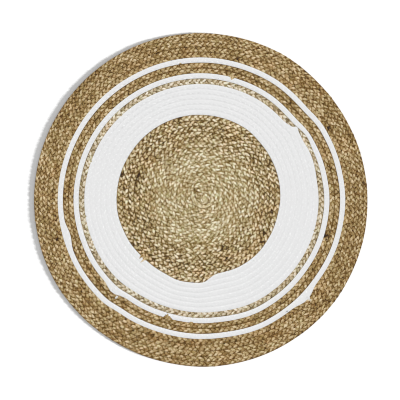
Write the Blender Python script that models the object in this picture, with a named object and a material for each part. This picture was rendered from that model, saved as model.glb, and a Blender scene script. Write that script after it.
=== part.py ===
"""Round jute rug, 1.20 m across: flat rows of plaited braid, coiled and sewn edge to edge.

Seven lengths of braid make the rug. From the middle out they are a jute coil of 15 turns,
a wide white band of 6 to 7 turns, one row of pale jute, a white ring, two rows of jute,
a second white ring and a border of five jute rows. Each length is one closed solid. Its top
face is raised into one rib for each row, and its underside is flat where it lies on the floor.

Units are metres and +Z is up. The origin is on the floor under the middle of the rug.
Angles are in degrees, counter-clockwise seen from above, from +X.
"""
import math

import bmesh
import bpy

# ---- Driving dimensions ------------------------------------------------------------------

RUG_RADIUS = 0.600
THICKNESS = 0.0095           # floor to the crest of a row
EDGE_HEIGHT = 0.0050         # floor to the widest line of a row, where it is sewn to the next
RIM_TUCK = 0.0025            # how far the rim draws in again where it meets the floor
FULL_CREST_WIDTH = 0.0100    # a row pinched narrower than this has a lower crest
GAP = 0.00034                # clearance between two lengths of braid
RIDGE_ANGLE = math.radians(30.0)   # faces that meet at more than this are shaded as a ridge

STATIONS = 72                # stations around one turn, all at the same angles
SEAM_ANGLE = 277.0           # where the jute coil ends and the wide white band begins

# The jute coil: its rows start around a small knot and widen a little towards its rim.
COIL_TURNS = 15
COIL_KNOT_RADIUS = 0.0060
ROW_AT_EYE = 0.0175
ROW_AT_RIM = 0.0200
COIL_OFFSET = (0.0020, 0.0108)   # the coil's centre, seen from the rug's centre
EYE_DIRECTION = 140.0            # the braid starts from a short doubled stretch that lies so
EYE_STRETCH = 0.0120             # half the length of that stretch
EYE_FADE = 0.050                 # the rows are round again a few times this far out

# The wide white band goes round six times and ends after a further part of a turn.
WHITE_TURNS = 6
WHITE_END_STATIONS = 25
WHITE_END_WIDTH = 0.10           # what is left of its last row at the very end, in rows

# Mean radius of the outer edge of each ring.
EDGE_RADIUS = {
    "white_wide": 0.4145,
    "jute_single": 0.4364,
    "white_inner": 0.4520,
    "jute_middle": 0.4940,
    "white_outer": 0.5087,
    "rim": RUG_RADIUS,
}

# The rows inside one ring, as shares of its width from its inner edge out.
MIDDLE_ROWS = (0.50, 0.50)
BORDER_ROWS = (0.230, 0.224, 0.194, 0.186, 0.166)

# The rings are pulled out of round by hand sewing: angle, shift of the rings and of the rim.
PULL = (
    # angle   rings    rim
    (0.0, 0.0085, 0.0000),
    (15.0, 0.0065, -0.0010),
    (30.0, 0.0045, -0.0025),
    (42.0, -0.0040, -0.0025),
    (60.0, 0.0005, 0.0010),
    (90.0, 0.0020, 0.0005),
    (120.0, 0.0010, 0.0015),
    (150.0, 0.0020, 0.0005),
    (180.0, 0.0035, 0.0000),
    (205.0, 0.0010, 0.0015),
    (225.0, -0.0020, -0.0010),
    (235.0, -0.0105, -0.0035),
    (255.0, -0.0130, -0.0030),
    (275.0, -0.0110, 0.0005),
    (300.0, -0.0005, 0.0020),
    (320.0, 0.0020, 0.0040),
    (345.0, 0.0070, 0.0020),
)

# The coil is pulled out of round too: angle, shift of its rim. Toward its eye the shift fades
# with the square of the radius.
COIL_PULL = (
    # angle   shift
    (0.0, -0.0068),
    (25.0, -0.0062),
    (40.0, -0.0056),
    (58.0, -0.0008),
    (80.0, -0.0008),
    (105.0, 0.0008),
    (145.0, 0.0006),
    (168.0, 0.0026),
    (190.0, 0.0045),
    (208.0, 0.0018),
    (230.0, -0.0014),
    (242.0, -0.0004),
    (255.0, 0.0050),
    (266.0, 0.0030),
    (283.0, -0.0062),
    (300.0, -0.0026),
    (315.0, -0.0024),
    (330.0, -0.0058),
    (347.0, -0.0086),
)
COIL_PULL_RADIUS = 0.290         # where the shift is whole

# Lapped ends push an edge out or in: edge, angle, reach before and after it, height.
SPLICES = (
    ("white_wide", 24.0, 18.0, 14.0, 0.0072),
    ("white_wide", 36.5, 8.0, 7.0, 0.0130),
    ("white_wide", 37.3, 2.5, 1.5, 0.0074),
    ("jute_single", 30.5, 7.0, 9.0, 0.0044),
    ("white_inner", 226.0, 6.0, 5.0, 0.0095),
    ("jute_middle", 195.0, 7.0, 7.0, -0.0090),
    ("white_outer", 317.0, 7.0, 7.0, 0.0120),
)

# Colour of each fibre, as red, green and blue of the picture from 0 to 255.
PALE_JUTE = (178, 161, 124)
BLONDE_JUTE = (185, 172, 142)
BROWN_JUTE = (152, 128, 88)
WHITE_COTTON = (232, 232, 230)


# ---- Edges of the rings ------------------------------------------------------------------

def ease(share):
    """Go from 0 to 1 with a soft start and end."""
    share = min(max(share, 0.0), 1.0)
    return 0.5 - 0.5 * math.cos(math.pi * share)


def pull(table, angle, column):
    """Read one column of a table at any angle, softly from row to row and around the turn."""
    angle %= 360.0
    rows = table + ((360.0,) + table[0][1:],)
    for before, after in zip(rows, rows[1:]):
        if before[0] <= angle <= after[0]:
            share = ease((angle - before[0]) / (after[0] - before[0]))
            return before[column] + share * (after[column] - before[column])
    raise ValueError("the table does not reach around the whole turn")


def splice(edge, angle):
    """Add up what the lapped ends do to one edge at an angle."""
    shift = 0.0
    for name, peak, reach_before, reach_after, height in SPLICES:
        if name != edge:
            continue
        away = (angle - peak + 180.0) % 360.0 - 180.0
        reach = reach_before if away < 0.0 else reach_after
        shift += height * ease(1.0 - abs(away) / reach)
    return shift


def edge_radius(edge, angle):
    """Give the radius of a ring's outer edge."""
    column = 2 if edge == "rim" else 1
    return EDGE_RADIUS[edge] + pull(PULL, angle, column) + splice(edge, angle)


def coil_radius(turns):
    """Give the inner edge of the coil's row after so many turns."""
    widening = (ROW_AT_RIM - ROW_AT_EYE) / (2.0 * (COIL_TURNS + 1))
    return COIL_KNOT_RADIUS + ROW_AT_EYE * turns + widening * turns ** 2


def station_angle(station):
    """Give the angle of a station counted from the seam."""
    return SEAM_ANGLE + 360.0 * station / STATIONS


def place(radius, angle, offset_share=0.0, step=0.0):
    """Place a point of a row's edge by radius and angle.

    offset_share is 1 in the coil, which has its own centre, and 0 in the outer rings. step
    moves the point along its row.
    """
    fade = (radius / COIL_PULL_RADIUS) ** 2
    radius += offset_share * fade * pull(COIL_PULL, angle, 1)
    cosine = math.cos(math.radians(angle))
    sine = math.sin(math.radians(angle))
    turn_from_eye = math.radians(angle - EYE_DIRECTION)
    stretch = EYE_STRETCH * math.tanh(2.0 * math.cos(turn_from_eye)) * math.exp(-radius / EYE_FADE)
    x = radius * cosine - step * sine + offset_share * COIL_OFFSET[0]
    y = radius * sine + step * cosine + offset_share * COIL_OFFSET[1]
    x += stretch * math.cos(math.radians(EYE_DIRECTION))
    y += stretch * math.sin(math.radians(EYE_DIRECTION))
    return (x, y, EDGE_HEIGHT)


# ---- Top faces ---------------------------------------------------------------------------

def crest_between(mesh, inner, outer):
    """Add the crest vertex midway between two edges of a row."""
    width = math.hypot(outer.co.x - inner.co.x, outer.co.y - inner.co.y)
    rise = (THICKNESS - EDGE_HEIGHT) * min(1.0, width / FULL_CREST_WIDTH)
    middle = (inner.co + outer.co) / 2.0
    return mesh.verts.new((middle.x, middle.y, EDGE_HEIGHT + rise))


def rib_faces(mesh, inner, crest, outer):
    """Lay the two slopes of one row between its edges and its crest."""
    for here in range(len(crest) - 1):
        mesh.faces.new((inner[here], inner[here + 1], crest[here + 1], crest[here]))
        mesh.faces.new((crest[here], crest[here + 1], outer[here + 1], outer[here]))


def spiral_top(mesh, edges):
    """Lay the ribs of a length that winds outward. Its edge one turn on is its outer edge.

    edges holds one vertex for each station, over one turn more than the braid is long.
    """
    length = len(edges) - STATIONS
    crest = [crest_between(mesh, edges[here], edges[here + STATIONS]) for here in range(length)]
    rib_faces(mesh, edges[:length], crest, edges[STATIONS:])
    return crest


def ring_top(mesh, lines, closed=True):
    """Lay the ribs of a ring between lines of vertices, from its inner edge to its outer."""
    for inner, outer in zip(lines, lines[1:]):
        crest = [crest_between(mesh, near, far) for near, far in zip(inner, outer)]
        if closed:
            rib_faces(mesh, inner + inner[:1], crest + crest[:1], outer + outer[:1])
        else:
            rib_faces(mesh, inner, crest, outer)


# ---- Solids ------------------------------------------------------------------------------

def close_solid(mesh):
    """Drop walls from the top face's border to the floor and fill the flat underside."""
    border = [edge for edge in mesh.edges if edge.is_boundary]
    middle_of_border = (EDGE_RADIUS["white_outer"] + RUG_RADIUS) / 2.0
    floor_edges = []
    for item in bmesh.ops.extrude_edge_only(mesh, edges=border)["geom"]:
        if isinstance(item, bmesh.types.BMEdge) and item.is_boundary:
            floor_edges.append(item)
        if isinstance(item, bmesh.types.BMVert):
            radius = math.hypot(item.co.x, item.co.y)
            if radius > middle_of_border:
                item.co.x *= (radius - RIM_TUCK) / radius
                item.co.y *= (radius - RIM_TUCK) / radius
            item.co.z = 0.0
    bmesh.ops.triangle_fill(mesh, use_beauty=True, use_dissolve=False, edges=floor_edges)
    bmesh.ops.recalc_face_normals(mesh, faces=mesh.faces)


def fibre(name, colour):
    """Make a rough fibre's material."""
    material = bpy.data.materials.new(name)
    material.use_nodes = True
    shader = material.node_tree.nodes["Principled BSDF"]
    linear = [((value / 255.0 + 0.055) / 1.055) ** 2.4 for value in colour]
    shader.inputs["Base Color"].default_value = (*linear, 1.0)
    shader.inputs["Roughness"].default_value = 0.9
    shader.inputs["Metallic"].default_value = 0.0
    return material


def add_length(name, mesh, material, rug):
    """Turn a finished mesh into the object of one length of braid."""
    close_solid(mesh)
    data = bpy.data.meshes.new(name)
    mesh.to_mesh(data)
    mesh.free()
    data.materials.append(material)
    data.shade_smooth()
    data.set_sharp_from_angle(angle=RIDGE_ANGLE)
    length = bpy.data.objects.new(name, data)
    length.parent = rug
    bpy.context.collection.objects.link(length)


def line_of(mesh, edge, clearance, first=0, last=STATIONS - 1):
    """Add the vertices of a ring's edge, one for each station."""
    line = []
    for station in range(first, last + 1):
        angle = station_angle(station)
        line.append(mesh.verts.new(place(edge_radius(edge, angle) + clearance, angle)))
    return line


def lines_between(mesh, inner, outer, shares):
    """Add the valleys between two edges of a ring, from its rows' shares of its width."""
    lines = [inner]
    reached = 0.0
    for share in shares[:-1]:
        reached += share
        valley = []
        for near, far in zip(inner, outer):
            valley.append(mesh.verts.new(near.co.lerp(far.co, reached)))
        lines.append(valley)
    return lines + [outer]


# ---- The seven lengths -------------------------------------------------------------------

def coil_jute(material, rug):
    """Build the jute coil in the middle, wound outward from its eye."""
    mesh = bmesh.new()
    length = COIL_TURNS * STATIONS
    edges = []
    for station in range(length + STATIONS + 1):
        clearance = -GAP / 2.0 if station >= length else 0.0
        at_end = station in (length, length + STATIONS)
        step = -GAP / 2.0 if at_end else 0.0
        radius = coil_radius(station / STATIONS) + clearance
        point = place(radius, station_angle(station), offset_share=1.0, step=step)
        edges.append(mesh.verts.new(point))
    crest = spiral_top(mesh, edges)
    eye = mesh.verts.new((*COIL_OFFSET, THICKNESS))
    around_eye = edges[:STATIONS + 1] + [crest[0], edges[0]]
    for here, following in zip(around_eye, around_eye[1:]):
        mesh.faces.new((eye, here, following))
    add_length("coil_jute", mesh, material, rug)


def white_rows(part):
    """Count the white rows side by side, so many stations after the seam."""
    left = WHITE_END_STATIONS - part
    if left < 0:
        return float(WHITE_TURNS)
    return WHITE_TURNS + min(1.0, WHITE_END_WIDTH + left * (1.0 - WHITE_END_WIDTH))


def white_edge(station):
    """Give the radius of a white row's inner edge, and how far across the band it lies.

    A row that comes round to the seam is read there as the end of its turn.
    """
    turn = max(station - 1, 0) // STATIONS
    part = station - turn * STATIONS
    inner = coil_radius(COIL_TURNS + part / STATIONS)
    outer = edge_radius("white_wide", station_angle(station))
    across = min(1.0, turn / white_rows(part))
    return inner + across * (outer - inner), across


def band_white_wide(material, rug):
    """Build the wide white band, wound on from where the jute coil ends."""
    mesh = bmesh.new()
    length = WHITE_TURNS * STATIONS + WHITE_END_STATIONS
    edges = []
    for station in range(length + STATIONS + 1):
        radius, across = white_edge(station)
        if station <= STATIONS:
            radius += GAP / 2.0
        if station >= length:
            radius -= GAP / 2.0
        at_seam = station in (0, STATIONS)
        step = GAP / 2.0 if at_seam else 0.0
        point = place(radius, station_angle(station), offset_share=1.0 - across, step=step)
        edges.append(mesh.verts.new(point))
    spiral_top(mesh, edges)
    add_length("band_white_wide", mesh, material, rug)


def ring_jute_single(material, rug):
    """Build the row of pale jute, whose tapered ends meet beside the white band's end."""
    mesh = bmesh.new()
    first = WHITE_END_STATIONS - 1
    last = first + STATIONS
    inner = line_of(mesh, "white_wide", GAP / 2.0, first, last)
    outer = line_of(mesh, "jute_single", -GAP / 2.0, first, last)
    for end, direction in ((0, 1.0), (-1, -1.0)):
        for vertex in (inner[end], outer[end]):
            angle = math.radians(station_angle(first))
            vertex.co.x -= direction * GAP * math.sin(angle)
            vertex.co.y += direction * GAP * math.cos(angle)
    ring_top(mesh, [inner, outer], closed=False)
    add_length("ring_jute_single", mesh, material, rug)


def closed_ring(name, inner_edge, outer_edge, shares, material, rug):
    """Build a ring of one or more rows, closed on itself where its lapped ends are sewn."""
    mesh = bmesh.new()
    inner = line_of(mesh, inner_edge, GAP / 2.0)
    outer = line_of(mesh, outer_edge, -GAP / 2.0)
    ring_top(mesh, lines_between(mesh, inner, outer, shares))
    add_length(name, mesh, material, rug)


def clear_scene():
    """Remove what the scene holds."""
    for thing in list(bpy.data.objects):
        bpy.data.objects.remove(thing, do_unlink=True)


def main():
    """Build the seven lengths of braid under one empty."""
    clear_scene()
    rug = bpy.data.objects.new("round_rug", None)
    bpy.context.collection.objects.link(rug)
    pale = fibre("jute_pale", PALE_JUTE)
    blonde = fibre("jute_blonde", BLONDE_JUTE)
    brown = fibre("jute_brown", BROWN_JUTE)
    white = fibre("cotton_white", WHITE_COTTON)
    coil_jute(pale, rug)
    band_white_wide(white, rug)
    ring_jute_single(blonde, rug)
    closed_ring("ring_white_inner", "jute_single", "white_inner", (1.0,), white, rug)
    closed_ring("band_jute_middle", "white_inner", "jute_middle", MIDDLE_ROWS, brown, rug)
    closed_ring("ring_white_outer", "jute_middle", "white_outer", (1.0,), white, rug)
    closed_ring("band_jute_border", "white_outer", "rim", BORDER_ROWS, brown, rug)


main()
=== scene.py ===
"""Round jute rug, 1.20 m across: its plaited strands, stray fibres, materials, floor and light.

Every row of the rug is a flat plait of three strands. A strand swings from one edge of its row to
the other and dips under its neighbours on the way, so each strand is swept as one long tube along
its row. Plain fibre fills the inside of a row. Three tubes make one length of braid, and each
length stands for one solid of the frame. With the third strand of a length go its filling, its
stray fibres and the cut ends that lie over the next ring.

Units are metres, +Z is up, and angles are in degrees, counter-clockwise from +X.
"""

import math
from collections import namedtuple

import bpy
import numpy as np
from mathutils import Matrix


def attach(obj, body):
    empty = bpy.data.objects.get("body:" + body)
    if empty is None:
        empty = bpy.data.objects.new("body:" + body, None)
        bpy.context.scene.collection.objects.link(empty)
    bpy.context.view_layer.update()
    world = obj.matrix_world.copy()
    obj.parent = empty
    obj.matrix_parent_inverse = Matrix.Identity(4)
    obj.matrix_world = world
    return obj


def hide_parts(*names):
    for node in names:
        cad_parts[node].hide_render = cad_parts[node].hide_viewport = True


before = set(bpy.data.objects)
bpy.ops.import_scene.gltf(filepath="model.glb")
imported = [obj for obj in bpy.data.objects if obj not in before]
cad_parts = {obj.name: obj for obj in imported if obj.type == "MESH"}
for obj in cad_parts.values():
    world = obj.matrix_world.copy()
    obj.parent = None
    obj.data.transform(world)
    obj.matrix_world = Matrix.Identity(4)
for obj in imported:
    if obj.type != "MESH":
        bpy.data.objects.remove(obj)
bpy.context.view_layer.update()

bl_info = {
    "name": "Round jute rug",
    "version": (1, 0, 0),
    "blender": (4, 5, 0),
    "location": "3D View > Sidebar > Jute Rug",
    "description": "Plaits a round jute rug with white rings, strand by strand",
    "category": "Object",
}

BODY = "root"

# ---- The rug's plan, as its solids have it ----

RUG_RADIUS = 0.600
THICKNESS = 0.0095
SEAM_ANGLE = 277.0               # where the jute coil ends and the wide white band begins
STATIONS = 72                    # stations around one turn of the solids

COIL_TURNS = 15
COIL_END = (-8.0, 6.0)           # degrees from the seam between which the coil's last row narrows
COIL_KNOT_RADIUS = 0.0060
ROW_AT_EYE = 0.0175
ROW_AT_RIM = 0.0200
COIL_OFFSET = (0.0020, 0.0108)   # the coil's centre, seen from the rug's centre
EYE_DIRECTION = 140.0
EYE_STRETCH = 0.0120
EYE_FADE = 0.050

WHITE_TURNS = 6
WHITE_END_STATIONS = 25          # the last white row ends so far past the seam
WHITE_TAPER_STATIONS = 4         # and narrows over so many stations
WHITE_SOFTENING = 12             # its kinks are averaged over so many points before and after

EDGE_RADIUS = {
    "white_wide": 0.4145,
    "jute_single": 0.4364,
    "white_inner": 0.4520,
    "jute_middle": 0.4940,
    "white_outer": 0.5087,
    "rim": RUG_RADIUS,
}

BULGE = {                        # how far strands would bulge past an edge of the solids
    "jute_single": 0.0015,
    "white_inner": -0.0011,
    "jute_middle": 0.0022,
    "white_outer": -0.0011,
    "rim": 0.0020,
}

RINGS = {
    # closed ring: its inner edge, its outer edge, each row's share of its width
    "ring_white_inner": ("jute_single", "white_inner", (1.0,)),
    "band_jute_middle": ("white_inner", "jute_middle", (0.50, 0.50)),
    "ring_white_outer": ("jute_middle", "white_outer", (1.0,)),
    "band_jute_border": ("white_outer", "rim", (0.230, 0.224, 0.194, 0.186, 0.166)),
}

# The rings are pulled out of round by hand sewing, and so is the coil.
PULL = (
    # angle, shift of the rings, shift of the rim
    (0.0, 0.0085, 0.0000),
    (15.0, 0.0065, -0.0010),
    (30.0, 0.0045, -0.0025),
    (42.0, -0.0040, -0.0025),
    (60.0, 0.0005, 0.0010),
    (90.0, 0.0020, 0.0005),
    (120.0, 0.0010, 0.0015),
    (150.0, 0.0020, 0.0005),
    (180.0, 0.0035, 0.0000),
    (205.0, 0.0010, 0.0015),
    (225.0, -0.0020, -0.0010),
    (235.0, -0.0105, -0.0035),
    (255.0, -0.0130, -0.0030),
    (275.0, -0.0110, 0.0005),
    (300.0, -0.0005, 0.0020),
    (320.0, 0.0020, 0.0040),
    (345.0, 0.0070, 0.0020),
)

COIL_PULL = (
    # angle, shift of the coil's rim
    (0.0, -0.0068),
    (25.0, -0.0062),
    (40.0, -0.0056),
    (58.0, -0.0008),
    (80.0, -0.0008),
    (105.0, 0.0008),
    (145.0, 0.0006),
    (168.0, 0.0026),
    (190.0, 0.0045),
    (208.0, 0.0018),
    (230.0, -0.0014),
    (242.0, -0.0004),
    (255.0, 0.0050),
    (266.0, 0.0030),
    (283.0, -0.0062),
    (300.0, -0.0026),
    (315.0, -0.0024),
    (330.0, -0.0058),
    (347.0, -0.0086),
)
COIL_PULL_RADIUS = 0.290         # where the shift is whole

# Lapped ends push an edge out or in.
SPLICES = (
    # edge, angle, reach before and after it, height
    ("white_wide", 24.0, 18.0, 14.0, 0.0072),
    ("white_wide", 36.5, 8.0, 7.0, 0.0130),
    ("white_wide", 37.3, 2.5, 1.5, 0.0074),
    ("jute_single", 30.5, 7.0, 9.0, 0.0044),
    ("white_inner", 226.0, 6.0, 5.0, 0.0095),
    ("jute_middle", 195.0, 7.0, 7.0, -0.0090),
    ("white_outer", 317.0, 7.0, 7.0, 0.0120),
)

DENSE = 1.0                      # degrees between the points of a row's middle line

# ---- The plait ----

Weave = namedtuple("Weave", (
    "steps",                     # stations in one repeat of a strand
    "breadth",                   # a strand's width beside that of jute
    "crown",                     # how far a row's edges slope down
    "press",                     # how far in the strands turn at the edges
    "slant",                     # how far a strand rolls, in degrees
    "lean",                      # how far the crossings lie toward the inner edge
    "fill_depth",                # half the depth of the fibre inside a row
    "fill_boxy",                 # how round that fibre is: 1 for an oval, near 0 for a box
    "hidden",                    # how much painted shade that fibre takes, which makes it dark
    "slip",                      # how unevenly the strands cross
    "cleft",                     # how strongly the line between two rows is painted as shade: darker on jute, lighter on cotton
))
JUTE_WEAVE = Weave(steps=18, breadth=1.0, crown=0.0006, press=0.65, slant=25.0, lean=0.22,
                   fill_depth=0.0024, fill_boxy=0.45, hidden=0.9, slip=0.60, cleft=0.08)
COTTON_WEAVE = Weave(steps=12, breadth=1.22, crown=0.0, press=1.30, slant=14.0, lean=0.0,
                     fill_depth=0.0040, fill_boxy=0.25, hidden=0.0, slip=0.2, cleft=0.7)
COIL_WEAVE = JUTE_WEAVE._replace(breadth=0.88, press=0.75, cleft=0.40)
MIDDLE_WEAVE = JUTE_WEAVE._replace(press=0.97, cleft=0.90)
SINGLE_WEAVE = JUTE_WEAVE._replace(breadth=0.90, cleft=0.30)

LENGTHS = {
    # length of braid: its weave, what its random draws start from
    "coil_jute": (COIL_WEAVE, 11),
    "band_white_wide": (COTTON_WEAVE, 23),
    "ring_jute_single": (SINGLE_WEAVE, 37),
    "ring_white_inner": (COTTON_WEAVE, 41),
    "ring_white_outer": (COTTON_WEAVE, 43),
    "band_jute_middle": (MIDDLE_WEAVE, 53),
    "band_jute_border": (JUTE_WEAVE, 67),
}

FULL_HALF = 0.0095               # half width of a row whose strands have their full size
STRAND_SIDES = 8                 # points around a strand
NARROWING = 0.26                 # how much of its width a strand loses where it turns
DIP = 3.0                        # how sharply it goes down under its neighbours
STRAIGHTNESS = 0.93              # 0: a strand swings as a sine, near 1: in straight limbs
END_TAPER = 0.012                # length in which a cut end narrows
FLOOR_CLEARANCE = 0.0002
RIM_SHADE_FROM = 0.64                  # how far across a strand the painted shade at its rim begins
STRAND_BOXY = 0.85               # 1: a strand is oval, near 0: a box
CLEFT_SHADE_FROM = 0.78                # how far across a row the painted shade along its edge begins
TUCK_SHADE_TO = 0.50                   # how far from a crossing a strand is painted in shade

# What an unsteady hand does, each at an unevenness of 1.
HAND_TURNS = 1.5                 # how often in one repeat the hand changes
BEAT = 1.2                       # how far the whole plait runs ahead or behind
PLUMP = 0.42                     # how much fuller or thinner a limb is than the others
SWING = 0.22                     # how much further or less far a limb swings
SWAY = 0.0016                    # how far the whole plait sways across its row

YARN_LAY = 0.070                 # length in which the fibres of a strand turn once
YARN_SHIFT = 0.37                # keeps the grain of neighbouring fibres apart
STRIP_GAP = 0.14                 # bare share of a strip in the flat layout of a strand
LONG_TUBE = 0.30                 # a tube longer than this has strips of its own

# Darker places: painted shade in the holes where the jute's strands gape, stains on the jute, and
# where a white ring is thin.
DARK_SPOTS = (
    # angle, half its arc, radius, reach, depth
    (126.0, 0.0, 0.0383, 0.0065, 1.5),
    (118.0, 0.0, 0.0400, 0.0060, 1.0),
    (108.0, 0.0, 0.0287, 0.0060, 1.0),
    (293.9, 0.0, 0.1883, 0.0055, 3.2),
    (294.7, 0.0, 0.2252, 0.0055, 3.2),
    (157.9, 0.0, 0.2397, 0.0070, 5.0),
    (164.2, 0.0, 0.2383, 0.0055, 3.2),
    (239.3, 0.0, 0.2379, 0.0055, 3.2),
    (99.0, 0.0, 0.2479, 0.0050, 3.0),
    (350.4, 0.0, 0.2560, 0.0055, 3.4),
    (332.5, 0.0, 0.2562, 0.0055, 3.2),
    (325.6, 0.0, 0.2667, 0.0065, 4.5),
    (28.2, 0.0, 0.2823, 0.0050, 3.0),
    (161.7, 0.0, 0.2970, 0.0070, 5.0),
    (104.9, 0.0, 0.3040, 0.0060, 3.4),
    (343.9, 0.0, 0.4648, 0.0075, 5.0),
    (47.1, 0.0, 0.4765, 0.0055, 3.4),
    (178.7, 0.0, 0.4811, 0.0055, 3.2),
    (249.7, 0.0, 0.5169, 0.0065, 4.2),
    (187.5, 0.0, 0.5213, 0.0050, 3.0),
    (29.2, 0.0, 0.5239, 0.0055, 3.2),
    (75.2, 0.0, 0.5246, 0.0055, 3.2),
    (202.2, 0.0, 0.5312, 0.0050, 3.0),
    (195.1, 0.0, 0.5355, 0.0055, 3.4),
    (341.3, 0.0, 0.5475, 0.0055, 3.2),
    (91.0, 16.0, 0.5518, 0.0035, 0.8),
    (133.5, 8.5, 0.5853, 0.0035, 0.8),
    (270.0, 1.0, 0.5625, 0.0060, 0.8),
    (226.0, 0.5, 0.4575, 0.0035, 1.9),
    (307.0, 2.0, 0.5040, 0.0030, 1.5),
)

# Cut ends of strands that lie over the next ring.
LOOSE_ENDS = {
    # angle, radius of the root, radius of the tip, half width at the root
    "ring_jute_single": (
        (133.0, 0.4200, 0.4100, 0.0035),
        (160.5, 0.4200, 0.4095, 0.0025),
        (345.0, 0.4260, 0.4150, 0.0030),
        (201.0, 0.4180, 0.4090, 0.0030),
        (188.0, 0.4190, 0.4110, 0.0025),
        (88.0, 0.4220, 0.4130, 0.0030),
    ),
    "band_jute_middle": (
        (75.7, 0.4620, 0.4410, 0.0120),
        (253.9, 0.4470, 0.4170, 0.0140),
        (255.2, 0.4470, 0.4250, 0.0130),
        (265.5, 0.4450, 0.4330, 0.0080),
        (98.5, 0.4930, 0.5010, 0.0050),
    ),
    "coil_jute": (
        (226.3, 0.2860, 0.3150, 0.0065),
        (223.5, 0.2860, 0.3100, 0.0055),
        (224.9, 0.2840, 0.3010, 0.0040),
    ),
    "ring_white_outer": (
        (317.7, 0.5140, 0.5390, 0.0085),
    ),
    "ring_white_inner": (
        (229.0, 0.4560, 0.4700, 0.0040),
    ),
}

LOOSE_HALF_DEPTH = 0.0012

SMOOTH_START = (0.66, 1.26)      # turns between which the coil's first turn is not yet plaited
SMOOTH_HALF = 0.0048
EYE_KNOT = ((0.0110, 0.0180), (0.0185, -0.0125))      # ends of the knot in the coil's eye
EYE_KNOT_HALF = 0.0115
EYE_PAD = ((-0.0220, 0.0300), (0.0180, -0.0040))      # ends of the fibre under the eye
EYE_PAD_HALF = 0.0150

FILL_STEP = 0.017                # length between the stations of the fibre inside a row
FILL_OVERLAP = 0.0005            # how far it reaches into the next row
FILL_SIDES = 16                  # points around the fibre inside a row

STRAY_PER_METRE = 36.0           # stray fibres on each metre of jute braid
STRAY_LENGTH = (0.010, 0.034)
STRAY_HALF = 0.00016
STRAY_SINK = 0.0016              # how far below the rug's top a stray fibre's ends lie
STRAY_RISE = 0.0014              # how far its middle stands above its ends, at least
STRAY_MORE = 0.0016              # and up to so much more

# ---- The studio ----

Sun = namedtuple("Sun", "height heading softness")
KEY_SUN = Sun(height=55.0, heading=80.0, softness=30.0)
LOW_SUN = Sun(height=17.5, heading=-10.0, softness=9.0)
FLOOR_HALF = 40.0                # half the width of the floor
VIEW_MIDDLE = (-0.0028, 0.0004)  # what the camera looks down on
PIXEL_FILTER = 1.0               # how far a pixel gathers light, in pixels


# ---- Settings a user would change ----

def length_setting(name, description, default, low=0.0, high=10.0):
    """Make a setting for a length in metres."""
    return bpy.props.FloatProperty(name=name, description=description, default=default,
                                   min=low, max=high, precision=4, unit="LENGTH",
                                   subtype="DISTANCE")


def share_setting(name, description, default):
    """Make a setting for a share from 0 to 1."""
    return bpy.props.FloatProperty(name=name, description=description, default=default,
                                   min=0.0, max=1.0, subtype="FACTOR")


def light_setting(name, description, default):
    """Make a setting for the strength of a light."""
    return bpy.props.FloatProperty(name=name, description=description, default=default, min=0.0)


def colour_setting(name, description, default):
    """Make a setting for a colour, given as red, green and blue from 0 to 255 on the screen."""
    return bpy.props.FloatVectorProperty(name=name, description=description,
                                         default=screen(default), min=0.0, max=1.0, size=3,
                                         subtype="COLOR")


def screen(colour):
    """Turn a screen colour from 0 to 255 into light from 0 to 1."""
    shares = [value / 255.0 for value in colour]
    return tuple(share / 12.92 if share <= 0.04045 else ((share + 0.055) / 1.055) ** 2.4
                 for share in shares)


class PlaitSettings(bpy.types.PropertyGroup):
    """Sizes of the three-strand plait."""

    repeat: length_setting("Repeat", "Length in which a strand returns to its edge",
                           0.060, 0.02, 0.2)
    strand_half_width: length_setting("Strand half width",
                                      "Half the width of a flattened strand", 0.0061)
    strand_half_depth: length_setting("Strand half depth",
                                      "Half the depth of a flattened strand", 0.0030)
    unevenness: share_setting("Unevenness", "How far hand plaiting strays from an even plait",
                              0.5)


class FibreSettings(bpy.types.PropertyGroup):
    """Tints of the fibres, which the colours of the materials are multiplied by."""

    pale: colour_setting("Pale jute", "Tint of the coil in the middle", (255, 255, 255))
    blonde: colour_setting("Blonde jute", "Tint of the single row", (255, 255, 255))
    brown: colour_setting("Brown jute", "Tint of the middle rows and the border",
                          (255, 255, 255))
    cotton: colour_setting("White cotton", "Colour of the white rings", (237, 237, 237))


class StudioSettings(bpy.types.PropertyGroup):
    """Floor, light and camera."""

    view_width: length_setting("View width", "Width of floor that the picture shows", 1.4381,
                               0.5, 5.0)
    lens: bpy.props.FloatProperty(name="Lens", description="Focal length of the camera",
                                  default=100.0, min=20.0, max=300.0, unit="CAMERA")
    key: light_setting("Key light", "Strength of the light on the rug", 1.5)
    low: light_setting("Low light", "Strength of the low light, which draws the rug's shadow",
                       7.0)
    dome: light_setting("Dome", "Strength of the light all around", 0.62)


# ---- Edges of the rings ----

def ease(share):
    """Go from 0 to 1 with a soft start and end."""
    return 0.5 - 0.5 * np.cos(np.pi * np.clip(share, 0.0, 1.0))


def pull(table, angle, column):
    """Read one column of a table at every angle, softly from row to row and around the turn."""
    table = np.array(table + ((360.0,) + table[0][1:],))
    angle = np.mod(angle, 360.0)
    after = np.clip(np.searchsorted(table[:, 0], angle, side="right"), 1, len(table) - 1)
    start, end = table[after - 1], table[after]
    share = ease((angle - start[:, 0]) / (end[:, 0] - start[:, 0]))
    return start[:, column] + share * (end[:, column] - start[:, column])


def apart(angle, place):
    """Give the turn from a place to each angle, from -180 to 180 degrees."""
    return np.mod(angle - place + 180.0, 360.0) - 180.0


def splice(edge, angle):
    """Add up what the lapped ends do to one edge at every angle."""
    shift = np.zeros_like(angle)
    for name, peak, reach_before, reach_after, height in SPLICES:
        if name == edge:
            away = apart(angle, peak)
            reach = np.where(away < 0.0, reach_before, reach_after)
            shift += height * ease(1.0 - np.abs(away) / reach)
    return shift


def edge_radius(edge, angle):
    """Give the radius of a ring's outer edge at every angle, less what its strands bulge."""
    column = 2 if edge == "rim" else 1
    radius = EDGE_RADIUS[edge] - BULGE.get(edge, 0.0)
    return radius + pull(PULL, angle, column) + splice(edge, angle)


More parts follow.
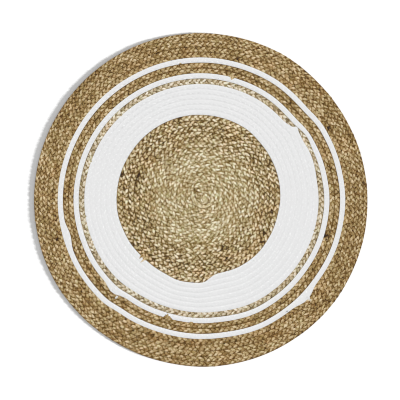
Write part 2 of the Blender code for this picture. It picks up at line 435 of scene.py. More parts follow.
def coil_radius(turns):
    """Give the inner edge of the coil's row after so many turns."""
    widening = (ROW_AT_RIM - ROW_AT_EYE) / (2.0 * (COIL_TURNS + 1))
    return COIL_KNOT_RADIUS + ROW_AT_EYE * turns + widening * turns ** 2


def coil_end(turns):
    """Say how much of its width the coil's last row has left beside the seam."""
    away = 360.0 * (turns - COIL_TURNS)
    return 1.0 - ease((away - COIL_END[0]) / (COIL_END[1] - COIL_END[0]))


def place(radius, angle, offset_share):
    """Place points by radius and angle. offset_share is 1 in the coil and 0 in the rings."""
    fade = (radius / COIL_PULL_RADIUS) ** 2
    radius = radius + offset_share * fade * pull(COIL_PULL, angle, 1)
    turn = np.radians(angle)
    eye = math.radians(EYE_DIRECTION)
    stretch = EYE_STRETCH * np.tanh(2.0 * np.cos(turn - eye)) * np.exp(-radius / EYE_FADE)
    x = radius * np.cos(turn) + offset_share * COIL_OFFSET[0] + stretch * math.cos(eye)
    y = radius * np.sin(turn) + offset_share * COIL_OFFSET[1] + stretch * math.sin(eye)
    return np.stack([x, y], axis=1)


# ---- Middle lines of the rows ----

def come_round(values, closed):
    """Put a closed line's first value at its end as well."""
    return np.concatenate([values, values[:1]]) if closed else values


def run_along(line):
    """Measure how far along a line each of its points lies."""
    return np.concatenate([[0.0], np.cumsum(np.linalg.norm(np.diff(line, axis=0), axis=1))])


class Course:
    """The middle line of one row, and half the row's width along it."""

    def __init__(self, inner, outer, closed):
        self.closed = closed
        self.half = np.linalg.norm(outer - inner, axis=1) / 2.0
        self.halves = come_round(self.half, closed)
        self.line = come_round((inner + outer) / 2.0, closed)
        self.reach = run_along(self.line)
        self.length = self.reach[-1]

    def read(self, reach):
        """Give the middle line's points and half widths so far along."""
        x = np.interp(reach, self.reach, self.line[:, 0])
        y = np.interp(reach, self.reach, self.line[:, 1])
        return np.stack([x, y], axis=1), np.interp(reach, self.reach, self.halves)


def ring_courses(node):
    """Give the courses of the rows that share a closed ring."""
    inner_edge, outer_edge, shares = RINGS[node]
    angle = np.arange(0.0, 360.0, DENSE)
    inner = edge_radius(inner_edge, angle)
    outer = edge_radius(outer_edge, angle)
    limits = np.concatenate([[0.0], np.cumsum(shares)])
    lines = [place(inner + limit * (outer - inner), angle, 0.0) for limit in limits]
    return [Course(near, far, True) for near, far in zip(lines, lines[1:])]


def single_course():
    """Give the course of the pale row, whose tapered ends meet beside the white band's end."""
    first = SEAM_ANGLE + 360.0 / STATIONS * WHITE_END_STATIONS
    angle = first + np.arange(0.0, 360.0 + DENSE, DENSE)
    near = place(edge_radius("white_wide", angle), angle, 0.0)
    far = place(edge_radius("jute_single", angle), angle, 0.0)
    return [Course(near, far, False)]


def coil_course():
    """Give the course of the jute coil, from its eye out to the seam."""
    turns = np.arange(-0.80, COIL_TURNS + COIL_END[1] / 360.0, DENSE / 360.0)
    angle = SEAM_ANGLE + 360.0 * turns
    inner = np.maximum(coil_radius(turns), 0.0)
    outer = inner + (coil_radius(turns + 1.0) - inner) * coil_end(turns)
    return [Course(place(inner, angle, 1.0), place(outer, angle, 1.0), False)]


def white_edge(station):
    """Give the radius of a white row's inner edge, and how far across the band it lies.

    What the lapped end does to the edge is left out, and added by white_course().
    """
    turn = np.maximum(np.ceil(station / STATIONS) - 1.0, 0.0)
    part = station - turn * STATIONS
    angle = SEAM_ANGLE + 360.0 / STATIONS * station
    inner = coil_radius(COIL_TURNS + part / STATIONS)
    outer = edge_radius("white_wide", angle) - splice("white_wide", angle)
    last_row = ease((WHITE_END_STATIONS - part) / WHITE_TAPER_STATIONS)
    across = np.minimum(1.0, turn / (WHITE_TURNS + last_row))
    return inner + across * (outer - inner), across


def softened(values, reach):
    """Average each value with its neighbours, so that a kink becomes a bend."""
    weight = np.hanning(2 * reach + 3)[1:-1]
    weight /= weight.sum()
    padded = np.concatenate([np.full(reach, values[0]), values, np.full(reach, values[-1])])
    return np.convolve(padded, weight, mode="valid")


def white_course():
    """Give the course of the wide white band, from the seam to its tapered end."""
    per_turn = int(360 / DENSE)
    length = int((WHITE_TURNS + WHITE_END_STATIONS / STATIONS) * per_turn)
    first = int(COIL_END[0] / DENSE)
    station = np.arange(first, length + per_turn + 1) * STATIONS / per_turn
    radius, across = white_edge(station)
    angle = SEAM_ANGLE + 360.0 / STATIONS * station
    across = softened(across, WHITE_SOFTENING)
    radius = softened(radius, WHITE_SOFTENING) + across ** 4 * splice("white_wide", angle)
    turns = COIL_TURNS + station / STATIONS
    last_row = (coil_radius(turns + 1.0) - coil_radius(turns)) * coil_end(turns)
    edges = place(radius + last_row, angle, 1.0 - across)
    return [Course(edges[:length - first], edges[per_turn:per_turn + length - first], False)]


# ---- Strands ----

def wander(draw, position, count, closed):
    """Read a smooth random line, with a knot at each whole position from 0 to count."""
    knots = draw.uniform(-1.0, 1.0, count + 3)
    if closed:
        knots[count:] = knots[:3]
        position = np.mod(position, count)
    position = np.clip(position, 0.0, count + 1.0)
    low = np.floor(position).astype(int)
    share = smooth_share(position - low, 0.0, 1.0)
    return knots[low] + (knots[low + 1] - knots[low]) * share


def smooth_share(values, low, high):
    """Say how far each value has come from low to high, softly, from 0 to 1."""
    share = np.clip((values - low) / (high - low), 0.0, 1.0)
    return share * share * (3.0 - 2.0 * share)


def frame_along(line, closed):
    """Give the level way across a line and the way up from it."""
    if closed:
        along = np.roll(line, -1, axis=0) - np.roll(line, 1, axis=0)
    else:
        along = np.gradient(line, axis=0)
    along = along / np.maximum(np.linalg.norm(along, axis=1, keepdims=True), 1e-12)
    level = np.stack([along[:, 1], -along[:, 0], 0.0 * along[:, 0]], axis=1)
    level = level / np.maximum(np.linalg.norm(level, axis=1, keepdims=True), 1e-12)
    return level, np.cross(level, along)


Tube = namedtuple("Tube", "line wide deep closed sides boxy tone hollow")


def skin(name, tubes):
    """Skin tubes with one mesh, and keep on it what its material reads.

    A tube's line has a point for each step, wide and deep the two half axes of the oval there,
    boxy how round it is (1) or square (near 0), tone how light it is at each step, and its shade
    mask how far each point of the oval lies in shade, which the materials paint as painted shade
    on jute and painted light on cotton.
    """
    parts = []
    first = 0
    for number, tube in enumerate(tubes):
        turn = np.arange(tube.sides) * 2.0 * np.pi / tube.sides
        cosine, sine = boxed(np.cos(turn), tube.boxy), boxed(np.sin(turn), tube.boxy)
        points = tube.line[:, None] + tube.wide[:, None] * cosine + tube.deep[:, None] * sine
        index = first + np.arange(points.shape[0] * tube.sides).reshape(points.shape[:2])
        corners = at_corners(come_round(index, tube.closed), tube.closed)
        ends = [] if tube.closed else [tube.sides] * 2
        sizes = np.repeat([4] + ends, [(len(corners) - sum(ends)) // 4] + [1] * len(ends))
        tones = np.repeat(tube.tone, tube.sides)
        parts.append((points.reshape(-1, 3), corners, sizes, grain(tube, turn, number), tones,
                      tube.hollow.reshape(-1)))
        first += index.size
    points, corners, sizes, grains, tones, shade_masks = map(np.concatenate, zip(*parts))

    data = bpy.data.meshes.new(name)
    data.vertices.add(len(points))
    data.vertices.foreach_set("co", points.astype(np.float32).reshape(-1))
    data.loops.add(len(corners))
    data.loops.foreach_set("vertex_index", corners.astype(np.int32))
    data.polygons.add(len(sizes))
    data.polygons.foreach_set("loop_start", (np.cumsum(sizes) - sizes).astype(np.int32))
    data.update(calc_edges=True)
    data.shade_smooth()
    put_attribute(data, "grain", "FLOAT_VECTOR", grains, "CORNER")
    put_attribute(data, "tone", "FLOAT", tones, "POINT")
    put_attribute(data, "hollow", "FLOAT", shade_masks, "POINT")
    layer = data.uv_layers.new(name="OFBake")
    layer.data.foreach_set("uv", unroll(tubes).astype(np.float32).reshape(-1))
    piece = bpy.data.objects.new(name, data)
    bpy.context.scene.collection.objects.link(piece)
    return piece


def boxed(wave, boxy):
    """Swell a sine or cosine so that an oval turns into a rounded box."""
    return (np.sign(wave) * np.abs(wave) ** boxy)[:, None]


def at_corners(rings, closed):
    """Give the corners of a tube's faces what the rings of points around it have."""
    near, far = rings[:-1], rings[1:]
    quads = np.stack([near, far, np.roll(far, -1, axis=1), np.roll(near, -1, axis=1)], axis=2)
    corners = quads.reshape(-1, *rings.shape[2:])
    return corners if closed else np.concatenate([corners, rings[0], rings[-1, ::-1]])


def run_of(tube):
    """Measure how far along its line each step of a tube lies, and the whole length."""
    return run_along(come_round(tube.line, tube.closed))


def grain(tube, turn, number):
    """Give each corner its place in the yarn: how far along it, and where in its section."""
    run = run_of(tube)[:, None]
    lay = 2.0 * np.pi * run / YARN_LAY + turn
    oval = np.sqrt(np.linalg.norm(tube.wide, axis=1) * np.linalg.norm(tube.deep, axis=1))
    oval = come_round(oval, tube.closed)[:, None]
    yarn = np.stack([run + 0.0 * lay, oval * np.cos(lay) + number * YARN_SHIFT,
                     oval * np.sin(lay)], axis=2)
    return at_corners(yarn, tube.closed)


def put_attribute(data, name, kind, values, domain):
    """Store one number or vector for each point, or for each corner of a face."""
    field = "vector" if kind == "FLOAT_VECTOR" else "value"
    attribute = data.attributes.new(name, kind, domain)
    attribute.data.foreach_set(field, np.ascontiguousarray(values, np.float32).reshape(-1))


def unroll(tubes):
    """Lay the tubes out flat to fill a square: long ones in strips, short ones side by side."""
    lengths = [run_of(tube)[-1] for tube in tubes]
    long = [length > LONG_TUBE for length in lengths]
    total = sum(length for length, own in zip(lengths, long) if own)
    half = max(np.linalg.norm(tube.wide, axis=1).mean() for tube in tubes)
    strip = math.sqrt(total * 4.0 * half * (1.0 + STRIP_GAP))
    counts = [max(1, round(length / strip)) if own else 0 for length, own in zip(lengths, long)]
    rows = sum(counts) + (0 if all(long) else 1)
    short = max(1, long.count(False))
    places = []
    before, beside = 0, 0
    for tube, count in zip(tubes, counts):
        faces = len(tube.line) - (0 if tube.closed else 1)
        per_strip = math.ceil(faces / max(count, 1))
        face = np.arange(faces)[:, None]
        side = np.arange(tube.sides)[None, :]
        row = before + face // per_strip if count else rows - 1 + 0 * face
        left = (face % per_strip) / per_strip + 0.0 * side
        right = left + 1.0 / per_strip
        if not count:
            left, right = (beside + 0.9 * left) / short, (beside + 0.9 * right) / short
        low = (row + STRIP_GAP / 2.0 + (1.0 - STRIP_GAP) * side / tube.sides) / rows
        high = low + (1.0 - STRIP_GAP) / tube.sides / rows
        u, v = np.stack([left, right, right, left], 2), np.stack([low, low, high, high], 2)
        places.append(np.stack([0.004 + 0.992 * u, v], axis=3).reshape(-1, 2))
        if not tube.closed:
            first, last = places[-1][0], places[-1][-4 * tube.sides + 1]
            places.append(np.repeat([first, last], tube.sides, axis=0))
        before += count
        beside += 0 if count else 1
    return np.concatenate(places)


def darkness(points):
    """Say how much darker the rug is at each point, by DARK_SPOTS."""
    radius = np.hypot(points[:, 0], points[:, 1])
    angle = np.degrees(np.arctan2(points[:, 1], points[:, 0]))
    dark = np.zeros(len(points))
    for middle, half_arc, spot_radius, reach, depth in DARK_SPOTS:
        away = np.maximum(np.abs(apart(angle, middle)) - half_arc, 0.0)
        away = np.radians(away) * spot_radius
        dark += depth * np.exp(-((radius - spot_radius) ** 2 + away ** 2) / reach ** 2)
    return dark


def kept_depth(half):
    """Say how much of its depth a row keeps where it narrows, given half its width."""
    return np.clip(half / FULL_HALF * 1.6, 0.3, 1.0)


def plait(course, strand, seed, weave, settings):
    """Work out one of the three strands of a plait along a course."""
    repeats = max(1, round(course.length / settings.repeat))
    count = repeats * weave.steps + (0 if course.closed else 1)
    reach = np.linspace(0.0, course.length, count, endpoint=not course.closed)
    middle, half = course.read(reach)
    turns = repeats * reach / course.length

    # What the hand does: the whole plait tightens and sways, and each limb has its own turn.
    uneven = settings.unevenness
    hand = np.random.default_rng(seed)
    own = np.random.default_rng(seed * 7 + strand)
    bends = max(3, round(repeats * HAND_TURNS))
    beat, sway, seam_shade = (wander(hand, turns / repeats * bends, bends, course.closed)
                             for _ in range(3))
    limb_count = 2 * repeats
    slip = wander(own, turns * 2.0, limb_count, course.closed)
    phase = 2.0 * np.pi * (turns + strand / 3.0) + uneven * (BEAT * beat + weave.slip * slip)
    limbs = (phase - 0.75 * np.pi) / np.pi
    tone, plump, swing = (wander(own, limbs + shift, limb_count, course.closed)
                          for shift in (0.0, 0.0, 0.5))

    # The strand's middle line across the row, and its oval.
    size = np.clip(half / FULL_HALF, 0.08, 1.15)
    thick = kept_depth(half)
    sine, cosine = np.sin(phase), np.cos(phase)
    plumper = 1.0 + PLUMP * uneven * plump
    half_width = settings.strand_half_width * weave.breadth * size * plumper
    half_width *= 1.0 - NARROWING * sine ** 4
    half_depth = settings.strand_half_depth * thick * (1.0 + 0.5 * (plumper - 1.0))
    across = np.arcsin(STRAIGHTNESS * sine) / math.asin(STRAIGHTNESS)
    across -= weave.lean * (1.0 - across ** 2)
    lateral = np.maximum(half - half_depth * weave.press, 0.0) * across
    lateral *= 1.0 + SWING * uneven * swing
    lateral += SWAY * uneven * sway

    # It lies flat where it shows, stands on edge where it turns, and dips under its neighbours.
    steep = np.abs(cosine)
    turned = smooth_share(steep, 0.0, 0.75)
    tilt = 0.5 * np.pi * turned + math.radians(weave.slant) * steep ** 3
    tilt = -0.5 * np.pi - np.sign(cosine) * tilt
    edge_share = np.clip(np.abs(lateral) / half, 0.0, 1.0)
    ceiling = (THICKNESS / 2.0 - FLOOR_CLEARANCE) * thick - weave.crown * edge_share ** 2
    extent = np.hypot(np.sin(tilt) * half_width, np.cos(tilt) * half_depth)
    squeeze = np.minimum(1.0, ceiling / extent)
    rise = (ceiling - extent * squeeze) * np.tanh(-DIP * np.sin(2.0 * phase))
    if not course.closed:
        ends = np.minimum(reach, course.length - reach) / END_TAPER
        squeeze = squeeze * np.sqrt(np.clip(ends, 0.02, 1.0))

    outward, _ = frame_along(with_height(middle, 0.0 * reach), course.closed)
    line = with_height(middle + outward[:, :2] * lateral[:, None], THICKNESS / 2.0 + rise)
    level, up = frame_along(line, course.closed)
    cos_tilt, sin_tilt = np.cos(tilt)[:, None], np.sin(tilt)[:, None]
    wide = (cos_tilt * level + sin_tilt * up) * (half_width * squeeze)[:, None]
    deep = (-sin_tilt * level + cos_tilt * up) * (half_depth * squeeze)[:, None]

    # Painted shade: how far each point lies in shade, at the strand's rims, where it dips and
    # along the line between two rows. Jute is painted darker there, and cotton lighter.
    turn = np.arange(STRAND_SIDES) * 2.0 * np.pi / STRAND_SIDES
    rim = smooth_share(np.abs(np.cos(turn)), RIM_SHADE_FROM, 1.0)[None, :]
    tuck_shade = 1.0 - smooth_share(np.abs(np.sin(2.0 * phase)), 0.05, TUCK_SHADE_TO)[:, None]
    width_share = np.sum(wide * outward, axis=1)[:, None] * np.cos(turn)
    depth_share = np.sum(deep * outward, axis=1)[:, None] * np.sin(turn)
    beside = np.abs(lateral[:, None] + width_share + depth_share) / half[:, None]
    cleft = smooth_share(beside, CLEFT_SHADE_FROM, 1.0)
    cleft = cleft * weave.cleft * (0.45 + 0.55 * smooth_share(seam_shade, -0.2, 0.5)[:, None])
    hollow = 1.0 - (1.0 - rim) * (1.0 - tuck_shade) * (1.0 - cleft)
    return Tube(line, wide, deep, course.closed, STRAND_SIDES, STRAND_BOXY,
                tone - darkness(line), hollow)


def filling(course, weave):
    """Fill the inside of a row with fibre, so that no floor shows between its strands."""
    count = max(24, round(course.length / FILL_STEP))
    reach = np.linspace(0.0, course.length, count, endpoint=not course.closed)
    middle, half = course.read(reach)
    line = with_height(middle, np.full(count, THICKNESS / 2.0))
    level, up = frame_along(line, course.closed)
    depth = weave.fill_depth * kept_depth(half)
    width = half + FILL_OVERLAP
    # Painted shade: in jute rows this fibre is painted dark, as it lies in shade between the
    # strands.
    return Tube(line, level * width[:, None], up * depth[:, None], course.closed, FILL_SIDES,
                weave.fill_boxy, -darkness(line), np.full((count, FILL_SIDES), weave.hidden))


def with_height(plan, height):
    """Give points in plan their height."""
    return np.column_stack([plan, height])


def thread(line, half_width, half_depth, tone):
    """Make a tube that lies flat along a short line, thin at both ends."""
    level, up = frame_along(line, False)
    taper = np.full((len(line), 1), 1.0)
    taper[[0, -1]] = 0.4
    hollow = np.zeros((len(line), 4))
    return Tube(line, level * half_width * taper, up * half_depth * taper, False, 4, 1.0,
                np.full(len(line), tone), hollow)


def smooth_strand(line, half_widths, half_depth, tone):
    """Make a flat strand that is not plaited, with painted shade at its rims."""
    sides = 10
    level, up = frame_along(line, False)
    half_widths = np.asarray(half_widths)[:, None]
    around = np.abs(np.cos(np.arange(sides) * 2.0 * np.pi / sides))
    hollow = np.repeat(0.9 * smooth_share(around, 0.75, 1.0)[None, :], len(line), axis=0)
    depths = half_depth * np.minimum(1.0, 3.0 * half_widths / half_widths.max())
    return Tube(line, level * half_widths, up * depths, False, sides, 0.8,
                np.full(len(line), tone), hollow)


def stray_fibres(courses, seed):
    """Scatter short curved fibres that stand out of the braid."""
    draw = np.random.default_rng(seed + 5)
    share = np.linspace(0.0, 1.0, 6)
    fibres = []
    for course in courses:
        for reach in draw.uniform(0.0, course.length, round(course.length * STRAY_PER_METRE)):
            middle, half = course.read(np.array([reach, reach + 0.001]))
            forward = middle[1] - middle[0]
            heading = math.atan2(forward[1], forward[0]) + draw.normal(0.0, 0.7)
            length = draw.uniform(*STRAY_LENGTH)
            bend = draw.uniform(-1.2, 1.2)
            side = draw.uniform(-0.7, 0.7) * half[0]
            start = middle[0] + side * np.array([math.sin(heading), -math.cos(heading)])
            turn = heading + bend * (share - 0.5)
            steps = length / (len(share) - 1) * np.stack([np.cos(turn), np.sin(turn)], axis=1)
            plan = start + np.cumsum(steps, axis=0) - steps.sum(axis=0) / 2.0
            low = THICKNESS - STRAY_SINK
            height = low + (STRAY_RISE + draw.uniform(0.0, STRAY_MORE)) * np.sin(np.pi * share)
            fibres.append(thread(with_height(plan, height), STRAY_HALF, STRAY_HALF,
                                 draw.uniform(-0.6, 1.6)))
    return fibres


def loose_ends(node, seed):
    """Make the cut ends of strands that lie over the next ring, three thin ones at each place."""
    draw = np.random.default_rng(seed + 9)
    share = np.linspace(0.0, 1.0, 7)
    ends = []
    for angle, root, tip, half_width in LOOSE_ENDS.get(node, ()):
        for beside in (-0.5, 0.5, 0.0):
            spread = beside * half_width / root * (1.0 - 0.7 * share)
            turn = np.radians(angle) + spread
            turn += 0.004 * np.sin(2.0 * share) * draw.uniform(-1.0, 1.0)
            radius = root + (tip - root) * share * draw.uniform(0.75, 1.0)
            plan = radius[:, None] * np.stack([np.cos(turn), np.sin(turn)], axis=1)
            height = THICKNESS - 0.0015 + 0.0003 * (beside == 0.0) - 0.0012 * share ** 3
            widths = 0.55 * half_width * (1.0 - 0.80 * share ** 1.5)
            ends.append(smooth_strand(with_height(plan, height), widths, LOOSE_HALF_DEPTH,
                                      draw.uniform(-1.8, 0.3)))
    return ends


def lump(ends, half_width, half_depth, height, droop, tone):
    """Make a flat lump of fibre between two places, rounded at its ends and lower there."""
    share = np.linspace(0.0, 1.0, 9)
    first, last = np.array(ends)
    swell = np.sqrt(np.clip(np.sin(np.pi * share), 0.04, 1.0))
    line = with_height(first + (last - first) * share[:, None], height - droop * (1.0 - swell))
    return smooth_strand(line, half_width * swell, half_depth, tone)


def coil_start():
    """Make the smooth first turn of the coil, the knot in its eye and the fibre under it."""
    turns = np.linspace(*SMOOTH_START, 28)
    plan = place(coil_radius(turns) + ROW_AT_EYE / 2.0, SEAM_ANGLE + 360.0 * turns, 1.0)
    from_middle = np.linspace(-1.0, 1.0, len(turns))
    height = THICKNESS - 0.0012 - 0.0030 * from_middle ** 6
    widths = SMOOTH_HALF * (1.0 - 0.5 * from_middle ** 4)
    first_turn = smooth_strand(with_height(plan, height), widths, 0.0016, -0.35)
    knot = lump(EYE_KNOT, EYE_KNOT_HALF, 0.0013, THICKNESS - 0.0010, 0.0016, -0.7)
    # Painted shade: the fibre under the eye is given a dark tone, as it lies in shade beneath the
    # knot.
    pad = lump(EYE_PAD, EYE_PAD_HALF, 0.0030, 0.0040, 0.0, -1.6)
    return [first_turn, knot, pad]


# ---- Materials ----

class Wire:
    """A socket's value in a material, which Python's signs add, subtract and multiply."""

    def __init__(self, bench, socket):
        self.bench = bench
        self.socket = socket

    def maths(self, operation, *values):
        """Add one Math node for an operation on values and sockets."""
        return self.bench.add("ShaderNodeMath", {"operation": operation},
                              dict(enumerate(values)))

    def __add__(self, other):
        return self.maths("ADD", self, other)

    def __radd__(self, other):
        return self.maths("ADD", other, self)

    def __sub__(self, other):
        return self.maths("SUBTRACT", self, other)

    def __rsub__(self, other):
        return self.maths("SUBTRACT", other, self)

    def __mul__(self, other):
        return self.maths("MULTIPLY", self, other)

    def __rmul__(self, other):
        return self.maths("MULTIPLY", other, self)


class Bench:
    """Adds the nodes of one material."""

    def __init__(self, name):
        self.material = bpy.data.materials.new(name)
        self.material.use_nodes = True
        self.tree = self.material.node_tree
        self.shader = self.tree.nodes["Principled BSDF"]

    def add(self, kind, settings=None, values=None, output=0):
        """Add a node: its settings first, then the values or wires of its sockets."""
        node = self.tree.nodes.new(kind)
        for name, value in (settings or {}).items():
            setattr(node, name, value)
        self.join(node, values or {})
        return Wire(self, node.outputs[output])

    def join(self, node, values):
        """Link wires to a node's sockets, or set the sockets to values."""
        for key, value in values.items():
            socket = node.inputs[key]
            if isinstance(value, Wire):
                self.tree.links.new(value.socket, socket)
            elif isinstance(socket.default_value, float):
                socket.default_value = value
            else:
                socket.default_value = (*value, 1.0)[:len(socket.default_value)]

    def finish(self, values):
        """Join the shader's sockets, and give the finished material."""
        self.join(self.shader, values)
        return self.material

    def stored(self, name, output="Fac"):
        """Read a number, or as output "Vector" a vector, that the mesh keeps."""
        return self.add("ShaderNodeAttribute", {"attribute_name": name}, output=output)

    def spot(self):
        """Read where a point lies on the rug."""
        return self.add("ShaderNodeTexCoord", output="Object")

    def stretched(self, vector, scale):
        """Scale a vector's three numbers, each by its own amount."""
        return self.add("ShaderNodeVectorMath", {"operation": "MULTIPLY"},
                        {0: vector, 1: scale})

    def noise(self, vector, scale, detail=2.0, rough=0.5):
        """Read smooth noise, from 0 to 1 around 0.5, at one scale or a scale for each way."""
        scale = (scale,) * 3 if isinstance(scale, float) else scale
        return self.add("ShaderNodeTexNoise", {"noise_dimensions": "3D"},
                        {"Vector": self.stretched(vector, scale), "Scale": 1.0,
                         "Detail": detail, "Roughness": rough})

    def between(self, value, low, high):
        """Say how far a value has come from low to high, softly, from 0 to 1."""
        return self.add("ShaderNodeMapRange", {"interpolation_type": "SMOOTHSTEP"},
                        {"Value": value, "From Min": low, "From Max": high})

    def mixed(self, share, first, second, blend="MIX"):
        """Mix two colours."""
        return self.add("ShaderNodeMix", {"data_type": "RGBA", "blend_type": blend},
                        {0: share, 6: first, 7: second}, output=2)

    def dimmed(self, colour, share):
        """Multiply a colour by a number."""
        return self.add("ShaderNodeVectorMath", {"operation": "SCALE"},
                        {0: colour, "Scale": share})

    def ramp(self, value, colours):
        """Read a colour off a row of screen colours, evenly spaced from 0 to 1."""
        wire = self.add("ShaderNodeValToRGB", {}, {0: value})
        elements = wire.socket.node.color_ramp.elements
        while len(elements) < len(colours):
            elements.new(0.5)
        for number, (element, colour) in enumerate(zip(elements, colours)):
            element.position = number / (len(colours) - 1)
            element.color = (*screen(colour), 1.0)
        return wire

    def relief(self, height, strength, distance):
        """Raise the fibres by a wire of heights."""
        return self.add("ShaderNodeBump", {}, {"Strength": strength, "Distance": distance,
                                               "Height": height})


def jute(name, kind, tint, coil=False):
    """Make jute: fibres drawn out along the strand, with painted shade on its rims, where it dips
    and along the line between rows.

    The coil is palest in its middle, and browner and more worn toward its rim.
    """
    bench = Bench(name)
    grains = bench.stored("grain", "Vector")
    spot = bench.spot()
    tone = bench.stored("tone")
    hollow = bench.stored("hollow")
    bundle = bench.noise(grains, (70.0, 300.0, 300.0))
    fibre = bench.noise(grains, (90.0, 1700.0, 1700.0), 3.0, 0.6)
    patch = bench.noise(spot, 13.0)
    fleck = bench.noise(spot, 80.0, 1.0)
    age = bench.noise(spot, 28.0)
    shade_noise = bench.noise(spot, 70.0, 1.0)

    worn = 0.5
    rim = 0.0
    young = (1.0, 1.0, 1.0)
    if coil:
        flat_spot = bench.stretched(spot, (1.0, 1.0, 0.0))
        from_eye = bench.add("ShaderNodeVectorMath", {"operation": "DISTANCE"},
                             {0: flat_spot, 1: (*COIL_OFFSET, 0.0)}, output="Value")
        worn = bench.between(from_eye, 0.13, 0.26)
        rim = 0.06 * bench.between(from_eye, 0.255, 0.285) - 0.07 * (worn - 0.5)
        young = (0.985, 1.014, 1.010)
    light = kind.lift + 0.20 * tone + 0.95 * (bundle - 0.5) + 0.50 * (fibre - 0.5)
    light = light + 0.26 * (age - 0.5) + rim
    # Painted shade: the colour is darkened by this much where a point lies in shade, unevenly,
    # and more toward the coil's rim.
    deep = kind.contrast * (0.55 + 0.9 * shade_noise) * (0.85 + 0.3 * worn)
    body = bench.ramp(light - deep * hollow, kind.stops)
    warm_share = bench.between(patch, 0.50, 0.66) * (0.35 + 0.5 * worn)
    warm = bench.mixed(warm_share, (1.0, 1.0, 1.0), (1.01, 0.92, 0.82))
    warm = bench.mixed(1.0 - worn, warm, young, "MULTIPLY")
    warm = bench.mixed(bench.between(fleck, 0.54, 0.74), warm, (1.03, 0.96, 0.92), "MULTIPLY")
    cool = bench.mixed(bench.between(fleck, 0.46, 0.28), warm, (0.97, 1.02, 0.92), "MULTIPLY")
    tinted = bench.mixed(1.0, cool, tint, "MULTIPLY")
    return bench.finish({
        "Base Color": bench.mixed(1.0, body, tinted, "MULTIPLY"),
        "Roughness": 0.62 + 0.25 * fibre,
        "Sheen Weight": 0.10,
        "Specular IOR Level": 0.35,
        "Normal": bench.relief(0.45 * bundle + 0.55 * fibre, 0.7, 0.0009),
    })


def cotton(name, colour):
    """Make white cotton: soft, even fibres with faint lines and a few grey specks.

    It is painted lighter where it lies in shade: painted light that evens out the shade of its
    plait.
    """
    bench = Bench(name)
    grains = bench.stored("grain", "Vector")
    spot = bench.spot()
    tone = bench.stored("tone")
    fibre = bench.noise(grains, (60.0, 1400.0, 1400.0), 3.0, 0.6)
    cloud = bench.noise(spot, 22.0)
    speck = bench.noise(spot, 150.0, 1.0)
    stain = bench.between(-1.0 * tone, 1.0, 2.0)
    # Painted light: the last term lightens the cotton where it lies in shade.
    light = 0.895 + 0.07 * fibre + 0.03 * cloud + 0.016 * tone + 0.21 * bench.stored("hollow")
    light = light - 0.35 * bench.between(speck, 0.78, 0.86) - 0.4 * stain
    return bench.finish({
        "Base Color": bench.dimmed(colour, light),
        "Roughness": 0.75 + 0.2 * fibre,
        "Sheen Weight": 0.2,
        "Specular IOR Level": 0.25,
        "Normal": bench.relief(fibre, 0.35, 0.0006),
    })


# lift: how light a jute is overall. contrast: how much painted shade darkens it where it lies in
# shade.
# stops: its colour on the screen, from the darkest to the lightest.
Jute = namedtuple("Jute", "lift contrast stops")
PALE = Jute(lift=0.755, contrast=0.54, stops=(
    (56, 34, 4), (124, 94, 38), (176, 154, 106), (215, 199, 164), (244, 235, 214)))
BLONDE = Jute(lift=0.722, contrast=0.47, stops=(
    (70, 54, 26), (130, 110, 72), (184, 167, 132), (218, 206, 182), (246, 240, 226)))
BROWN = Jute(lift=0.738, contrast=0.48, stops=(
    (46, 26, 2), (108, 76, 20), (152, 124, 73), (189, 165, 121), (225, 206, 170)))


# ---- Operators ----

def lay_length(context, node, courses, material, extras=()):
    """Plait all rows of one length of braid, a piece for each of its three strands."""
    settings = context.scene.rug_plait
    weave, seed = LENGTHS[node]
    for strand in range(3):
        tubes = [plait(course, strand, seed + 31 * row, weave, settings)
                 for row, course in enumerate(courses)]
        if strand == 2:
            tubes += [filling(course, weave) for course in courses]
            tubes += loose_ends(node, seed) + list(extras)
            tubes += stray_fibres(courses, seed) if weave.hidden else []
        piece = skin(f"{node}_strand_{strand + 1}", tubes)
        piece.data.materials.append(material)
        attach(piece, BODY)
        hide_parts(node)
    length = sum(course.length for course in courses)
    width = sum(2.0 * course.half.mean() * course.length for course in courses) / length


class RUG_OT_coil(bpy.types.Operator):
    """Plait the jute coil in the middle"""

    bl_idname = "rug.coil"
    bl_label = "Jute coil"

    def execute(self, context):
        material = jute("jute_pale", PALE, context.scene.rug_fibres.pale, coil=True)
        lay_length(context, "coil_jute", coil_course(), material, extras=coil_start())
        return {"FINISHED"}


class RUG_OT_white_band(bpy.types.Operator):
    """Plait the wide white band"""

    bl_idname = "rug.white_band"
    bl_label = "Wide white band"

    def execute(self, context):
        material = cotton("cotton_wide", context.scene.rug_fibres.cotton)
        lay_length(context, "band_white_wide", white_course(), material)
        return {"FINISHED"}


class RUG_OT_single_row(bpy.types.Operator):
    """Plait the single row of pale jute"""

    bl_idname = "rug.single_row"
    bl_label = "Single jute row"

    def execute(self, context):
        material = jute("jute_blonde", BLONDE, context.scene.rug_fibres.blonde)
        lay_length(context, "ring_jute_single", single_course(), material)
        return {"FINISHED"}


class RUG_OT_white_rings(bpy.types.Operator):
    """Plait the two narrow white rings"""

    bl_idname = "rug.white_rings"
    bl_label = "Narrow white rings"

    def execute(self, context):
        material = cotton("cotton_narrow", context.scene.rug_fibres.cotton)
        for node in ("ring_white_inner", "ring_white_outer"):
            lay_length(context, node, ring_courses(node), material)
        return {"FINISHED"}


class RUG_OT_brown_rows(bpy.types.Operator):
    """Plait the two middle rows and the five border rows of brown jute"""

    bl_idname = "rug.brown_rows"
    bl_label = "Brown jute rows"

    def execute(self, context):
        material = jute("jute_brown", BROWN, context.scene.rug_fibres.brown)
        for node in ("band_jute_middle", "band_jute_border"):
            lay_length(context, node, ring_courses(node), material)
        return {"FINISHED"}


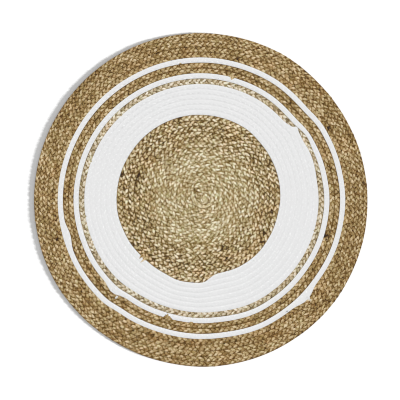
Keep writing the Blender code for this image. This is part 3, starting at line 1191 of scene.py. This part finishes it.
class RUG_OT_stage(bpy.types.Operator):
    """Lay the floor and set up the light and the camera"""

    bl_idname = "rug.stage"
    bl_label = "Studio"

    def execute(self, context):
        studio = context.scene.rug_studio
        scene = context.scene
        scene.view_settings.view_transform = "Standard"
        scene.cycles.filter_width = PIXEL_FILTER
        floor_mesh = bpy.data.meshes.new("floor")
        corners = [(-1, -1), (1, -1), (1, 1), (-1, 1)]
        floor_mesh.from_pydata([(x * FLOOR_HALF, y * FLOOR_HALF, 0.0) for x, y in corners], [],
                               [(0, 1, 2, 3)])
        floor = bpy.data.objects.new("floor", floor_mesh)
        scene.collection.objects.link(floor)
        bench = Bench("floor_paint")
        mottle = bench.noise(bench.spot(), 3.0, 3.0)
        paint = bench.finish({
            "Base Color": bench.dimmed((0.86, 0.86, 0.86), 0.99 + 0.02 * mottle),
            "Roughness": 0.9,
            "Specular IOR Level": 0.0,
        })
        floor_mesh.materials.append(paint)

        world = bpy.data.worlds.new("studio")
        world.use_nodes = True
        world.node_tree.nodes["Background"].inputs["Color"].default_value = (1, 1, 1, 1)
        world.node_tree.nodes["Background"].inputs["Strength"].default_value = studio.dome
        scene.world = world
        add_sun("key", studio.key, KEY_SUN, floor, "EXCLUDE")
        add_sun("low", studio.low, LOW_SUN, floor, "INCLUDE")

        eye = bpy.data.cameras.new("camera")
        eye.lens = studio.lens
        eye.sensor_width = 36.0
        camera = bpy.data.objects.new("camera", eye)
        camera.location = (*VIEW_MIDDLE, studio.view_width * studio.lens / eye.sensor_width)
        scene.collection.objects.link(camera)
        scene.camera = camera
        return {"FINISHED"}


def add_sun(name, strength, sun, floor, floor_link):
    """Add a far light. floor_link says if it lights the floor alone or all but the floor."""
    light = bpy.data.lights.new(name, "SUN")
    light.energy = strength
    light.angle = math.radians(sun.softness)
    lamp = bpy.data.objects.new(name, light)
    lamp.rotation_euler = (0.0, math.radians(90.0 - sun.height), math.radians(sun.heading))
    bpy.context.scene.collection.objects.link(lamp)
    lit = bpy.data.collections.new(f"lit_by_{name}")
    lit.objects.link(floor)
    lit.collection_objects[0].light_linking.link_state = floor_link
    lamp.light_linking.receiver_collection = lit


class RUG_PT_panel(bpy.types.Panel):
    """Lists the settings and the steps of the rug"""

    bl_label = "Round jute rug"
    bl_idname = "RUG_PT_panel"
    bl_space_type = "VIEW_3D"
    bl_region_type = "UI"
    bl_category = "Jute Rug"

    def draw(self, context):
        layout = self.layout
        for group in (context.scene.rug_plait, context.scene.rug_fibres,
                      context.scene.rug_studio):
            box = layout.box()
            for name in group.__annotations__:
                box.prop(group, name)
        for step in STEPS:
            layout.operator(step.bl_idname)


STEPS = (RUG_OT_stage, RUG_OT_coil, RUG_OT_white_band, RUG_OT_single_row, RUG_OT_white_rings,
         RUG_OT_brown_rows)
GROUPS = {"rug_plait": PlaitSettings, "rug_fibres": FibreSettings, "rug_studio": StudioSettings}


def register():
    """Register the settings, the steps and the panel."""
    for name, group in GROUPS.items():
        bpy.utils.register_class(group)
        setattr(bpy.types.Scene, name, bpy.props.PointerProperty(type=group))
    for step in STEPS:
        bpy.utils.register_class(step)
    bpy.utils.register_class(RUG_PT_panel)


def unregister():
    """Take back what register() did."""
    bpy.utils.unregister_class(RUG_PT_panel)
    for step in reversed(STEPS):
        bpy.utils.unregister_class(step)
    for name, group in reversed(GROUPS.items()):
        delattr(bpy.types.Scene, name)
        bpy.utils.unregister_class(group)


def main():
    """Make the whole rug."""
    register()
    for step in STEPS:
        family, name = step.bl_idname.split(".")
        getattr(getattr(bpy.ops, family), name)()


if __name__ == "__main__":
    main()
